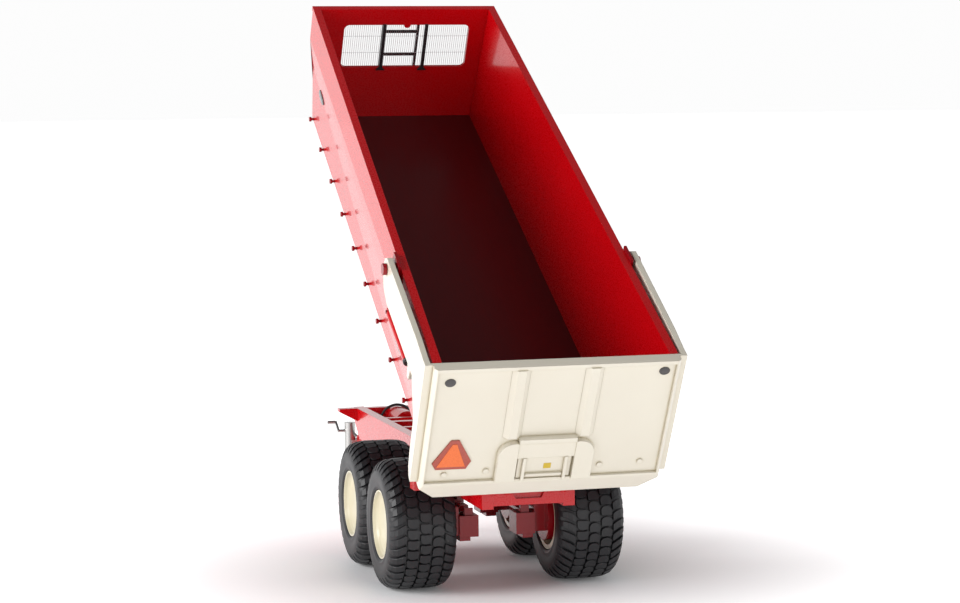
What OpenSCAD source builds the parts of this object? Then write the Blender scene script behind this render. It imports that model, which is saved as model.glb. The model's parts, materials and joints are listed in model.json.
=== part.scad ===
// Tandem-axle tipping trailer, a 1:32 scale model, standing with its tub tipped.
// The towing eye points along +X, the left side is +Y, and the wheels stand on Z = 0.

/* [Tub] */
// Length of the tub along its rim
tub_len = 224.3; // [220:0.1:228]
// Width of the tub over its rims, at the tailgate
tub_rear_w = 77.5; // [77:0.1:77.8]
// Width of the tub over its rims, at the front wall
tub_front_w = 69.8; // [68:0.1:72]
// Width over the sides at floor level, at the tailgate
low_rear_w = 65.8; // [65:0.1:66.5]
// Width over the sides at floor level, at the front wall
low_front_w = 62.4; // [61:0.1:64]
// Depth from the rim to the underside of the floor
tub_depth = 47; // [46.8:0.1:47.4]
// Width of the top face of each side
rim_w = 2.75; // [2:0.05:3.4]
// Thickness of the floor and of the lower edge of the sides
sheet_t = 1; // [0.8:0.1:1.2]
// Angle that the tub stands tipped at
tip_angle = 30.4; // [20:0.1:36]

/* [Chassis] */
// Distance from the middle to the middle of each chassis rail
rail_y = 13.4; // [13:0.1:13.8]
// Width of a chassis rail
rail_w = 3.8; // [3.4:0.1:4]
// Height of the rails' top face
rail_top = 43; // [42.8:0.1:43]
// Depth of a rail
rail_h = 11.5; // [10.5:0.1:11.5]
// Width of the front bolster
bolster_w = 44.6; // [40:0.1:50]
// Distance from the rear axle back to the tub's hinge
hinge_back = 45; // [44.8:0.1:45.2]
// Height of the tub's hinge
hinge_z = 41.5; // [41.3:0.1:41.6]

/* [Running gear] */
// Diameter of a tyre
tyre_d = 43.3; // [43:0.1:43.4]
// Width of a tyre
tyre_w = 22.5; // [21:0.1:22.6]
// Diameter of the rim's flange
rim_d = 22.7; // [22:0.1:24]
// Distance between the two axles
wheelbase = 46.5; // [46:0.1:48]
// Distance between the middles of a left and a right tyre
track = 57; // [56.8:0.1:58]

/* [Drawbar and jack] */
// Distance from the rear axle to the middle of the towing eye
eye_x = 225.6; // [224:0.1:230]
// Height of the towing eye
eye_z = 15.5; // [15:0.1:16]
// Diameter of the hole in the towing eye
eye_bore_d = 1.8; // [1.6:0.05:2.2]
// Distance from the rear axle to the parking jack
jack_x = 196; // [194:0.1:198]

/* [Tailgate] */
// Height of the tailgate
gate_h = 51; // [50.5:0.1:51.2]
// Thickness of the tailgate's frame
gate_t = 4; // [3.6:0.1:4.2]
// Distance from the rear of the tub to the arms' pivots
arm_s = 55; // [54:0.1:56]
// Drop of the arms' pivots below the rim
arm_drop = 3; // [2.8:0.1:3.2]

/* [Tip cylinder] */
// Distance from the rear axle to the cylinder's trunnions
trunnion_x = 92; // [91.6:0.1:92.4]
// Height of the trunnions
trunnion_z = 35; // [34.8:0.1:35.2]
// Travel of the cylinder for each degree that the tub tips
ram_rate = 2.32; // [2.3:0.01:2.34]

/* [Hidden] */
$fn = 48;

red = "#c01018";
dark_red = "#7a1016";
cream = "#e4e0d2";
ivory = "#f2ecd6";
black = "#26262a";
steel = "#b8b8ba";

// Places in the chassis: X from the rear axle, Z from the ground.
eye_r = 2.4;
hinge_x = -hinge_back;
hinge_s = 5.4;
hinge_drop = 50.4;
hinge_pin_r = 1.25;
x_front = eye_x + eye_r;
x_back = hinge_x - (gate_t + hinge_s) * cos(tip_angle) - hinge_drop * sin(tip_angle);
x_mid = (x_front + x_back) / 2;
rail_in = rail_y - rail_w / 2;
rail_out = rail_y + rail_w / 2;
rail_bottom = rail_top - rail_h;
rail_rear = -42;
rail_front = 149;
wheel_r = tyre_d / 2;
wheel_y = track / 2;
pivot_x = wheelbase / 2;
pivot_z = 30.5;

// The tub's own frame: X from its rear edge, Z from its rim.
fold_rear = 10;
fold_front = 13;
fold_low = 24.5;
band_in = 2;
wall_t = 1.2;
window_half = 24;
window_top = 6.6;
window_low = 24.5;
window_r = 2;
window_y = -1.5;
ladder_y = -0.8;
hook_first = 19.7;
hook_pitch = 22.3;
hook_count = 10;
beam_drop = 1.7;
gate_gap = 0.2;
panel_out = 3;
panel_t = 1.4;
gate_half = tub_rear_w / 2 + 0.15;
arm_in = 39.6;
arm_out = 41.4;
anchor_s = 50;
rod_s = 16;
ram_drop = 16;
ram_y = 40.2;
arm_pin_r = 1.2;
ram_pin_r = 0.6;
chute_half = 9.2;
cheek_w = 6.2;
ledge_low = -28.5;
ledge_top = -27;
door_split = -34.3;
slope_top = -44.2;
arm_rear = -1.2;
corner_cut = 0.65;
chute_out = 5;

// The tip cylinder: its base and its head lie at one distance from the hinge.
arm_base = norm([trunnion_x - hinge_x, trunnion_z - hinge_z]);
base_angle = atan2(trunnion_z - hinge_z, trunnion_x - hinge_x);
head_low_z = 42.7;
head_low_angle = asin((head_low_z - hinge_z) / arm_base);
spread = head_low_angle - base_angle + tip_angle;
head_slack = 0.6;
ram_len = 2 * arm_base * sin(spread / 2) - head_slack;
ram_tilt = base_angle + spread / 2;
stage_count = 5;
stage_step = ram_rate * tip_angle / stage_count;
barrel_r = 4.2;
barrel_top = 2.4;
barrel_low = 22.5;
tube_wall = 0.45;
tube_gap = 0.1;
tube_end_gap = 0.05;
collar_h = 0.45;
head_pin_r = 1.2;
head_play = 0.75;

module in_chassis() {
    translate([-x_mid, 0, 0]) children();
}

module in_tub() {
    in_chassis() translate([hinge_x, 0, hinge_z]) rotate([0, -tip_angle, 0])
        translate([-hinge_s, 0, hinge_drop]) children();
}

module in_ram() {
    in_chassis() translate([trunnion_x, 0, trunnion_z]) rotate([0, -ram_tilt, 0]) children();
}

module both_sides() {
    children();
    mirror([0, 1, 0]) children();
}

// A box from its low corner to its high corner.
module block(low, high) {
    translate(low) cube(high - low);
}

// A plate whose outline lies in X and Z, between two distances from the middle.
module side_plate(y0, y1) {
    translate([0, y1, 0]) rotate([90, 0, 0]) linear_extrude(y1 - y0) children();
}

// A plate whose outline lies in Y and Z, between two places along X.
module cross_plate(x0, x1) {
    translate([x0, 0, 0]) rotate([90, 0, 90]) linear_extrude(x1 - x0) children();
}

// A round bar across the part, between two distances from the middle.
module cross_bar(r, y0, y1) {
    translate([0, y0, 0]) rotate([-90, 0, 0]) cylinder(h = y1 - y0, r = r);
}

// A straight-sided solid between two outlines in Y and Z with the same number of points.
module loft(a, b, x0, x1) {
    n = len(a);
    ends = concat([for (p = a) [x0, p.x, p.y]], [for (p = b) [x1, p.x, p.y]]);
    lower = [for (i = [0 : n - 1]) [i, n + i, n + (i + 1) % n]];
    upper = [for (i = [0 : n - 1]) [i, n + (i + 1) % n, (i + 1) % n]];
    caps = [[for (i = [0 : n - 1]) i], [for (i = [n - 1 : -1 : 0]) n + i]];
    polyhedron(points = ends, faces = concat(lower, upper, caps));
}

module rounded_outline(half, low, high, r) {
    for (y = [-half + r, half - r], z = [low + r, high - r])
        translate([y, z]) circle(r);
    translate([-half, low + r]) square([2 * half, high - low - 2 * r]);
    translate([-half + r, low]) square([2 * half - 2 * r, high - low]);
}

// ---------------------------------------------------------------- chassis

module rail() {
    side_plate(rail_in, rail_out)
        polygon([[rail_rear, rail_bottom], [rail_rear, rail_top], [rail_front, rail_top],
                 [rail_front, rail_top - 5], [rail_front - 9, rail_bottom]]);
}

module rail_left() {
    color(red) in_chassis() rail();
}

module rail_right() {
    color(red) in_chassis() mirror([0, 1, 0]) rail();
}

bolster_x = 143;
bolster_end = 147;
bolster_low = 39.2;

module front_bolster() {
    half = bolster_w / 2;
    color(red) in_chassis() {
        block([bolster_x, -rail_in, bolster_low], [bolster_end, rail_in, rail_top]);
        both_sides() cross_plate(bolster_x, bolster_end)
            polygon([[rail_out, rail_top], [half, rail_top], [half, rail_top - 1.2],
                     [rail_out, rail_top - 5]]);
    }
}

module cross_members() {
    color(red) in_chassis() {
        block([-20, -rail_in, 33], [-16, rail_in, 41]);
        block([pivot_x - 3.2, -rail_in, 33], [pivot_x + 3.2, rail_in, 42]);
        block([62, -rail_in, 33], [66, rail_in, 41]);
        block([81.5, -rail_in, 33], [84.5, rail_in, 42.8]);
        block([98.7, -rail_in, 33], [102.3, rail_in, 42.8]);
        block([116, -rail_in, 33], [119, rail_in, 42]);
    }
}

module rear_crossmember() {
    color(red) in_chassis() difference() {
        block([rail_rear, -rail_in, 32.5], [rail_rear + 3, rail_in, 40]);
        cross_plate(rail_rear - 1, rail_rear + 1)
            polygon([[-6.4, 38.6], [6.4, 38.6], [4.2, 34.6], [-4.2, 34.6]]);
    }
}

module ear_outline() {
    polygon([[rail_rear, 36], [rail_rear, rail_top], [hinge_x, hinge_z + 2.6], [hinge_x, hinge_z - 2.6]]);
    translate([hinge_x, hinge_z]) circle(2.6);
}

module hinge_ears() {
    color(red) in_chassis() both_sides() difference() {
        union() {
            side_plate(6.2, 8) ear_outline();
            side_plate(10.6, 12.6) ear_outline();
        }
        translate([hinge_x, 0, hinge_z]) cross_bar(hinge_pin_r, 5, 14);
    }
}

module hinge_pins() {
    color(steel) in_chassis() both_sides() translate([hinge_x, 0, hinge_z]) {
        cross_bar(hinge_pin_r, 5.9, 12.8);
        cross_bar(1.7, 5.5, 6.1);
    }
}

trunnion_r = 1.4;

module cylinder_cradle() {
    color(red) in_chassis() both_sides() difference() {
        block([84.5, 5, 32], [98.7, 6.6, 38.4]);
        translate([trunnion_x, 0, trunnion_z]) cross_bar(trunnion_r + 0.05, 4, 8);
    }
}

module bogie_cheek(y0, y1, top) {
    side_plate(y0, y1) intersection() {
        union() {
            translate([pivot_x, pivot_z]) circle(2.8);
            translate([pivot_x - 2.8, pivot_z]) square([5.6, top - pivot_z]);
        }
        translate([pivot_x - 5, 0]) square([10, top]);
    }
}

module bogie_brackets() {
    color(red) in_chassis() both_sides() {
        bogie_cheek(6.6, 7.8, 33);
        bogie_cheek(rail_in + 0.2, rail_in + 1.4, rail_bottom);
        difference() {
            translate([pivot_x, 0, pivot_z]) cross_bar(1.3, 7, rail_in + 1);
            block([pivot_x - 2, rail_in - 0.1, rail_bottom], [pivot_x + 2, rail_in + 2, rail_bottom + 2]);
        }
    }
}

module lamp_brackets() {
    color(red) in_chassis() both_sides() {
        block([-26, rail_out, 38], [-24.6, 34, 42.8]);
        block([-30.5, 33, 37], [-24.6, 34.4, 42.8]);
        block([-30.5, 29, 37], [-25.2, 33.4, 38.4]);
    }
}

housing_r = 4.8;
housing_z = 38.6;

module hitch_housing() {
    color(red) in_chassis() difference() {
        translate([124, 0, housing_z]) rotate([0, 90, 0]) cylinder(h = bolster_x - 124, r = housing_r);
        block([120, -6, 30], [150, 6, bolster_low]);
    }
}

// The tapering front of the drawbar.
module drawbar_tip() {
    loft([[-5, 18], [5, 18], [5, 26], [-5, 26]], [[-2.2, 13.4], [2.2, 13.4], [2.2, 17.8], [-2.2, 17.8]],
         192, eye_x - eye_r - 1);
}

module drawbar() {
    color(red) in_chassis() {
        side_plate(-5, 5)
            polygon([[119, 32], [119, bolster_low], [150, bolster_low], [192, 26], [192, 18], [150, 30.5]]);
        drawbar_tip();
    }
}

module towing_eye() {
    h = 1.6;
    color(steel) in_chassis() difference() {
        union() {
            translate([eye_x, 0, eye_z - h / 2]) cylinder(h = h, r = eye_r);
            block([eye_x - eye_r - 1, -1.4, eye_z - h / 2], [eye_x - 1.2, 1.4, eye_z + h / 2]);
        }
        translate([eye_x, 0, eye_z - h]) cylinder(h = 2 * h, r = eye_bore_d / 2);
    }
}

// ---------------------------------------------------------------- parking jack

jack_y = 7.2;
leg_r = 1.55;
sleeve_low = 12;
sleeve_top = 31;
crank_z = 27.6;
crank_r = 0.6;

module jack_sleeve() {
    color(steel) in_chassis() {
        translate([jack_x, jack_y, 0]) difference() {
            translate([0, 0, sleeve_low]) cylinder(h = sleeve_top - sleeve_low, r = 2.2);
            translate([0, 0, sleeve_low - 1]) cylinder(h = sleeve_top - sleeve_low, r = leg_r + 0.08);
            translate([0, 0, crank_z]) cross_bar(crank_r + 0.05, 0, 4);
        }
        difference() {
            block([jack_x - 3, 4.15, 17.6], [jack_x + 3, jack_y, 24]);
            translate([jack_x, jack_y, 10]) cylinder(h = 20, r = 2.2);
            drawbar_tip();
        }
    }
}

module jack_leg() {
    color(steel) in_chassis() translate([jack_x, jack_y, 0]) {
        translate([0, 0, 1]) cylinder(h = 18.7, r = leg_r);
        cylinder(h = 1, r = 4);
    }
}

module jack_crank() {
    color(steel) in_chassis() translate([jack_x, jack_y + 2.3, crank_z]) {
        cross_bar(crank_r, -0.6, 2.6);
        translate([0, 2, 0]) rotate([0, 62, 0]) translate([-0.5, 0, 0]) cube([1, 0.8, 6.5]);
        translate([6.2 * sin(62), 2.8, 6.2 * cos(62)]) cross_bar(0.7, 0, 3);
    }
}

// ---------------------------------------------------------------- hydraulic hose

hose_r = 0.5;
hose_sides = 8;
hose_route = [
    [212, 1.6, 23.8], [206, 1.8, 23.5], [198, 2, 25.4], [190, 2.4, 27.6], [178, 3, 31.4],
    [166, 3.6, 35.2], [160, 4.6, 37.2], [155, 6.3, 37.4], [149, 6.7, 37], [143.5, 6.8, 37.4],
    [141.6, 6.2, 39.8], [141.4, 4.6, 42.2], [141.2, 2.4, 43.6], [141, 0, 44.05],
    [140.5, -2.6, 43.5], [139, -4.8, 41.9], [134, -6.4, 39.8], [126, -7, 38.4], [119, -7, 38]];
hose_parts = 4;

function spline(p, q, r, s, t) =
    0.5 * ((2 * q) + (r - p) * t + (2 * p - 5 * q + 4 * r - s) * t * t + (3 * q - p - 3 * r + s) * t * t * t);

function hose_point(i, t) =
    let (n = len(hose_route) - 1)
    spline(hose_route[max(i - 1, 0)], hose_route[i], hose_route[min(i + 1, n)], hose_route[min(i + 2, n)], t);

function unit(v) = v / norm(v);

// A tube through a line of points, with flat ends.
module tube(path, r, sides) {
    n = len(path);
    lead = [for (i = [0 : n - 1]) unit(path[min(i + 1, n - 1)] - path[max(i - 1, 0)])];
    flat = [for (d = lead) unit(cross(d, [0.11, 0.3, 1]))];
    ring = [for (i = [0 : n - 1], k = [0 : sides - 1])
        let (a = 360 * k / sides)
        path[i] + r * cos(a) * flat[i] + r * sin(a) * cross(lead[i], flat[i])];
    walls = [for (i = [0 : n - 2], k = [0 : sides - 1])
        let (j = (k + 1) % sides)
        [i * sides + k, (i + 1) * sides + k, (i + 1) * sides + j, i * sides + j]];
    caps = [[for (k = [0 : sides - 1]) k], [for (k = [sides - 1 : -1 : 0]) (n - 1) * sides + k]];
    polyhedron(points = ring, faces = concat(walls, caps));
}

module hydraulic_hose() {
    steps = [for (i = [0 : len(hose_route) - 2], k = [0 : hose_parts - 1]) hose_point(i, k / hose_parts)];
    color(black) in_chassis() tube(concat(steps, [hose_route[len(hose_route) - 1]]), hose_r, hose_sides);
}

// ---------------------------------------------------------------- tub

function side_outline(top, low, fold) = [
    [low - sheet_t, -tub_depth], [low, -tub_depth], [top - band_in, -fold_low], [top, -fold],
    [top, 0], [top - rim_w, 0], [low - sheet_t, -tub_depth + sheet_t]];

module tub_side() {
    loft(side_outline(tub_rear_w / 2, low_rear_w / 2, fold_rear),
         side_outline(tub_front_w / 2, low_front_w / 2, fold_front), 0, tub_len);
}

module tub_side_left() {
    color(red) in_tub() tub_side();
}

module tub_side_right() {
    color(red) in_tub() mirror([0, 1, 0]) tub_side();
}

module tub_floor() {
    rear = low_rear_w / 2 - sheet_t;
    front = low_front_w / 2 - sheet_t;
    end = tub_len - wall_t;
    slope = (rear - front) / tub_len;
    color(dark_red) in_tub() translate([0, 0, -tub_depth]) linear_extrude(sheet_t)
        polygon([[0, -rear], [end, -rear + slope * end], [end, rear - slope * end], [0, rear]]);
}

module tub_front_wall() {
    top = tub_front_w / 2 - rim_w;
    low = low_front_w / 2 - sheet_t;
    x0 = tub_len - wall_t;
    color(red) in_tub() {
        difference() {
            cross_plate(x0, tub_len)
                polygon([[-low, -tub_depth], [low, -tub_depth], [low, -tub_depth + sheet_t], [top, 0],
                         [-top, 0], [-low, -tub_depth + sheet_t]]);
            cross_plate(x0 - 1, tub_len + 1) translate([window_y, 0]) difference() {
                rounded_outline(window_half, -window_low, -window_top, window_r);
                translate([0, -window_top]) circle(1.3);
            }
        }
        block([tub_len, -tub_front_w / 2, -1.6], [tub_len + 1.4, tub_front_w / 2, 0]);
    }
}

module window_mesh() {
    color(steel) in_tub() cross_plate(tub_len, tub_len + 0.3) translate([window_y, 0])
        polygon([[-window_half - 2, -window_low - 2], [window_half + 2, -window_low - 2],
                 [window_half + 2, -window_top + 2], [-window_half - 2, -window_top + 2]]);
}

module window_bars() {
    x1 = tub_len - wall_t;
    color(black) in_tub() for (y = [7.3, -8.8]) {
        block([x1 - 1, y - 0.6, -window_low], [x1, y + 0.6, -window_top + 0.4]);
        cross_plate(x1 - 1, x1)
            polygon([[y - 1.7, -window_low - 0.9], [y + 1.7, -window_low - 0.9], [y + 0.6, -window_low],
                     [y - 0.6, -window_low]]);
    }
}

ladder_half = 6.7;
ladder_out = 5;
ladder_low = -45;
ladder_top = -4.2;
rung_pitch = 9.7;

module ladder() {
    x0 = tub_len + ladder_out;
    color(black) in_tub() translate([0, ladder_y, 0]) {
        for (y = [-ladder_half, ladder_half]) {
            block([x0, y - 0.5, ladder_low], [x0 + 1, y + 0.5, ladder_top]);
            for (z = [-29.5, -44]) block([tub_len, y - 0.5, z - 0.5], [x0, y + 0.5, z + 0.5]);
        }
        for (k = [1 : 4])
            block([x0 + 0.1, -ladder_half + 0.5, -3.8 - k * rung_pitch],
                  [x0 + 0.9, ladder_half - 0.5, -2.8 - k * rung_pitch]);
    }
}

module tarp_hooks() {
    color(dark_red) in_tub() both_sides() for (k = [0 : hook_count - 1]) {
        s = hook_first + k * hook_pitch;
        y = low_rear_w / 2 - (low_rear_w - low_front_w) / 2 * s / tub_len;
        translate([s, 0, -45.4]) {
            cross_bar(0.5, y - 0.3, y + 1.4);
            cross_bar(0.9, y + 1.2, y + 2);
        }
    }
}

module floor_beams() {
    color(red) in_tub() both_sides()
        block([9, rail_in + 0.2, -tub_depth - beam_drop], [216, rail_out - 0.2, -tub_depth]);
}

module hinge_lugs() {
    color(red) in_tub() both_sides() difference() {
        side_plate(8.3, 10.3) {
            polygon([[1.5, -tub_depth], [15, -tub_depth], [hinge_s + 1.4, -hinge_drop - 1.6],
                     [hinge_s - 2.1, -hinge_drop]]);
            translate([hinge_s, -hinge_drop]) circle(2.2);
        }
        translate([hinge_s, 0, -hinge_drop]) cross_bar(hinge_pin_r + 0.06, 6, 12);
    }
}

// Middle of the tip cylinder's head, in the tub's own frame.
head_s = hinge_s + arm_base * cos(head_low_angle);
head_t = -hinge_drop + arm_base * sin(head_low_angle);

module tip_bracket() {
    color(red) in_tub() both_sides() difference() {
        side_plate(3, 4.4) intersection() {
            union() {
                translate([head_s, head_t]) circle(2.6);
                polygon([[head_s - 2.6, head_t], [head_s + 2.6, head_t], [head_s + 4, -tub_depth],
                         [head_s - 4, -tub_depth]]);
            }
            translate([head_s - 6, -tub_depth - 12]) square(12);
        }
        translate([head_s, 0, head_t]) cross_bar(head_pin_r + head_play, 2, 6);
    }
}

module gate_pivot_brackets() {
    color(dark_red) in_tub() both_sides() {
        side_y = tub_rear_w / 2 - (tub_rear_w - tub_front_w) / 2 * 50 / tub_len;
        block([arm_s - 5, side_y, -8], [arm_s + 3.4, side_y + 0.9, 1.2]);
        translate([arm_s, 0, -arm_drop]) {
            cross_bar(1.9, side_y + 0.9, arm_in - 0.1);
            cross_bar(arm_pin_r, side_y + 0.9, arm_out + 1.4);
            cross_bar(1.9, arm_out + 0.1, arm_out + 1.4);
        }
        translate([anchor_s, 0, -ram_drop]) cross_bar(ram_pin_r, side_y - 1, ram_y + 1.2);
    }
}

// ---------------------------------------------------------------- tailgate

chamfer = 5.5;

module gate_outline(inset) {
    polygon([[-gate_half + inset, -inset], [-gate_half + inset, -gate_h + chamfer + inset * 0.4],
             [-gate_half + chamfer + inset * 0.4, -gate_h + inset],
             [gate_half - chamfer - inset * 0.4, -gate_h + inset],
             [gate_half - inset, -gate_h + chamfer + inset * 0.4], [gate_half - inset, -inset]]);
}

frame_in = 1.3;

// The opening that the frame leaves for the panel.
module gate_opening() {
    intersection() {
        gate_outline(frame_in);
        translate([-50, slope_top + 1]) square([100, -slope_top]);
    }
}

// The frame's lower face slopes back to the tub's floor, and its upright edges are eased.
module gate_frame() {
    color(cream) in_tub() difference() {
        cross_plate(-gate_t, -gate_gap) gate_outline(0);
        cross_plate(-gate_t - 1, 0) gate_opening();
        side_plate(-50, 50)
            polygon([[-gate_t - 1, slope_top], [-gate_t, slope_top], [-gate_gap - 0.8, -gate_h],
                     [-gate_gap - 0.8, -gate_h - 1], [-gate_t - 1, -gate_h - 1]]);
        both_sides() translate([-gate_t, gate_half, -gate_h - 1]) rotate([0, 0, 45])
            block([-corner_cut, -corner_cut, 0], [corner_cut, corner_cut, gate_h + 2]);
    }
}

module gate_panel() {
    color(cream) in_tub() difference() {
        cross_plate(-panel_out, panel_t - panel_out) gate_opening();
        block([-gate_t, -5.5, -41], [0, 5.5, -37.4]);
    }
}

module gate_ribs() {
    rib_s = gate_t + 0.4;
    color(cream) in_tub() for (y = [-11.6, 11.6])
        translate([0, y, ledge_top]) linear_extrude(-frame_in - ledge_top)
            polygon([[-panel_out, -3], [-rib_s, -1.3], [-rib_s, 1.3], [-panel_out, 3]]);
}

// One side arm with its wing, which wraps round the corner of the tub.
module gate_arm() {
    difference() {
        union() {
            side_plate(arm_in, arm_out)
                polygon([[arm_rear, 0], [arm_rear, slope_top], [1, -43.6], [2.6, -41], [3.4, -36], [4, -24],
                         [12, -12.9], [50, -12.9], [56, -10.6], [58.6, -6.6], [58.6, -1.2], [56, 0.6],
                         [12, 0.6], [3, 0]]);
            block([arm_rear, gate_half, slope_top], [-gate_gap, arm_in, 0]);
            side_plate(ram_y + 0.5, arm_out)
                polygon([[rod_s - 1.6, -12.9], [rod_s + 1.6, -12.9], [rod_s + 1.1, -17], [rod_s - 1.1, -17]]);
            translate([rod_s, 0, -ram_drop]) cross_bar(ram_pin_r, ram_y - 0.6, ram_y + 0.7);
        }
        translate([arm_s, 0, -arm_drop]) cross_bar(arm_pin_r + 0.05, arm_in - 2, arm_out + 2);
    }
}

module gate_arm_left() {
    color(cream) in_tub() gate_arm();
}

module gate_arm_right() {
    color(cream) in_tub() mirror([0, 1, 0]) gate_arm();
}

module cheek_outline() {
    low = slope_top + 1;
    intersection() {
        translate([chute_half, low]) square([cheek_w, ledge_low - low]);
        union() {
            translate([chute_half, low]) square([cheek_w, ledge_low - low - 5]);
            translate([chute_half + 1.2, ledge_low - 5]) circle(5);
        }
    }
}

module chute_frame() {
    color(cream) in_tub() {
        both_sides() {
            cross_plate(-chute_out, -panel_out) cheek_outline();
            block([-chute_out, 6.2, slope_top + 1], [-4.1, 7.2, door_split]);
        }
        block([-4.8, -chute_half, door_split], [-4.1, chute_half, ledge_low]);
        block([-chute_out - 0.2, -chute_half, ledge_low], [-panel_out, chute_half, ledge_top]);
        block([-4.4, -chute_half, slope_top + 1], [-panel_out, chute_half, -42.7]);
    }
}

module chute_door() {
    color(cream) in_tub() {
        block([-4, -8.6, -42.5], [-3.1, 8.6, door_split - 0.3]);
        block([-4.9, -5.8, -41.4], [-4, 5.8, -40.6]);
    }
}

module gate_bolts() {
    h = 0.5;
    color(cream) in_tub() for (p = [[31.5, -40.5], [18.2, -39.8], [-18.4, -39.4], [-31.6, -38.9]])
        translate([-panel_out - h, p.x, p.y]) rotate([0, 90, 0]) cylinder(h = h, r = 0.9);
}

module warning_triangle() {
    color("#e8702a") in_tub() cross_plate(-panel_out - 0.6, -panel_out)
        polygon([[23.4, -35.6], [24.8, -38.5], [34.5, -38.4], [35.8, -36], [30.6, -27.3], [28, -27.3]]);
}

// ---------------------------------------------------------------- tailgate cylinders

// Each cylinder rests a little off the line between its pins: its rod eye is the loose pivot.
gate_ram_tilt = 0.87;
gate_ram_len = 33.945;
gate_ram_r = 1.2;
gate_barrel_len = 28;

module in_gate_ram(side) {
    in_tub() translate([anchor_s, side * ram_y, -ram_drop]) rotate([0, gate_ram_tilt - 90, 0]) children();
}

module gate_barrel() {
    difference() {
        union() {
            translate([0, 0, 1]) cylinder(h = gate_barrel_len - 1, r = gate_ram_r);
            cross_bar(1.3, -0.8, 0.8);
        }
        translate([0, 0, 2.2]) cylinder(h = gate_barrel_len, r = 0.75);
        cross_bar(ram_pin_r + 0.05, -2, 2);
    }
}

module gate_rod() {
    difference() {
        union() {
            translate([0, 0, 3.6]) cylinder(h = gate_ram_len - 5, r = 0.4);
            translate([0, 0, 3.6]) cylinder(h = 1.6, r = 0.68);
            translate([0, 0, gate_ram_len]) cross_bar(1.9, -0.4, 0.4);
        }
        translate([0, 0, gate_ram_len]) cross_bar(ram_pin_r + 0.7, -3, 3);
    }
}

module gate_barrel_left() {
    color(red) in_gate_ram(1) gate_barrel();
}

module gate_barrel_right() {
    color(red) in_gate_ram(-1) gate_barrel();
}

module gate_rod_left() {
    color(steel) in_gate_ram(1) gate_rod();
}

module gate_rod_right() {
    color(steel) in_gate_ram(-1) gate_rod();
}

// ---------------------------------------------------------------- tip cylinder

function stage_r(i) = barrel_r - i * (tube_wall + tube_gap);

// One tube of the cylinder, open at its top and closed at its foot, with a collar round its mouth.
module tip_tube(i) {
    r = stage_r(i);
    top = barrel_top + i * collar_h;
    low = -barrel_low + 1 + i * 0.3;
    translate([0, 0, i * stage_step]) difference() {
        union() {
            translate([0, 0, low]) cylinder(h = top - low, r = r);
            translate([0, 0, top - collar_h + tube_end_gap])
                cylinder(h = collar_h - 2 * tube_end_gap, r = r + 0.3);
        }
        translate([0, 0, low + 0.25]) cylinder(h = top - low, r = r - tube_wall);
    }
}

module tip_barrel() {
    color(red) in_ram() {
        difference() {
            union() {
                translate([0, 0, -barrel_low])
                    cylinder(h = barrel_low + barrel_top - tube_end_gap, r = barrel_r);
                translate([0, 0, barrel_top - 1.2]) cylinder(h = 1.2 - tube_end_gap, r = barrel_r + 0.3);
                both_sides() cross_bar(trunnion_r, barrel_r - 0.5, 6.8);
            }
            translate([0, 0, -barrel_low + 0.9])
                cylinder(h = barrel_low + barrel_top, r = barrel_r - tube_wall);
        }
    }
}

module tip_stage_1() {
    color(steel) in_ram() tip_tube(1);
}

module tip_stage_2() {
    color(steel) in_ram() tip_tube(2);
}

module tip_stage_3() {
    color(steel) in_ram() tip_tube(3);
}

module tip_stage_4() {
    color(steel) in_ram() tip_tube(4);
}

module tip_rod() {
    low = -barrel_low + 1 + stage_count * 0.3 + stage_count * stage_step;
    color(steel) in_ram() {
        translate([0, 0, low]) cylinder(h = ram_len - low, r = stage_r(stage_count));
        translate([0, 0, ram_len]) cross_bar(1.7, -2.6, 2.6);
        translate([0, 0, ram_len]) cross_bar(head_pin_r, -5, 5);
    }
}

// ---------------------------------------------------------------- bogies and wheels

spring_in = 8;
spring_out = 11.3;

module spring_pack() {
    difference() {
        union() {
            for (k = [0 : 3])
                block([-3 + 6 * k, spring_in, 23.8 + 1.15 * k],
                      [wheelbase + 3 - 6 * k, spring_out, 24.8 + 1.15 * k]);
            block([pivot_x - 3, spring_in, 23.6], [pivot_x + 3, spring_out, pivot_z]);
            for (x = [0, wheelbase], k = [-3, 3])
                block([x + k - 0.5, spring_in + 0.2, 23.6], [x + k + 0.5, spring_out - 0.2, 26]);
            translate([pivot_x, 0, pivot_z]) cross_bar(2.2, spring_in, spring_out);
            block([9, spring_in + 1, 24], [wheelbase - 9, spring_out - 1, 28]);
        }
        translate([pivot_x, 0, pivot_z]) cross_bar(1.36, 5, 14);
    }
}

module spring_left() {
    color(dark_red) in_chassis() spring_pack();
}

module spring_right() {
    color(dark_red) in_chassis() mirror([0, 1, 0]) spring_pack();
}

axle_pin_r = 1.5;
hub_in = 27.6;

module stub_axle() {
    block([-4.4, 6.5, 16.5], [4.4, 13, 23.6]);
    block([-3, 9, 15], [3, 12.6, 16.5]);
    block([-3.4, 13, 17], [3.4, 16.6, 26.5]);
    translate([0, 0, wheel_r]) {
        cross_bar(8.2, 16.6, 19.4);
        cross_bar(axle_pin_r, 19.4, 34.4);
    }
}

module axles_left() {
    color(dark_red) in_chassis() for (x = [0, wheelbase]) translate([x, 0, 0]) stub_axle();
}

module axles_right() {
    color(dark_red) in_chassis() for (x = [0, wheelbase]) translate([x, 0, 0]) mirror([0, 1, 0]) stub_axle();
}

rim_barrel_r = 10.6;
rim_half = 10.45;
bead_half = 9.65;
disc_out = 8.6;

module on_wheel(x, side) {
    in_chassis() translate([x, 0, wheel_r]) mirror([0, side, 0])
        translate([0, wheel_y, 0]) rotate([-90, 0, 0]) rotate_extrude($fn = 96) children();
}

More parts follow.
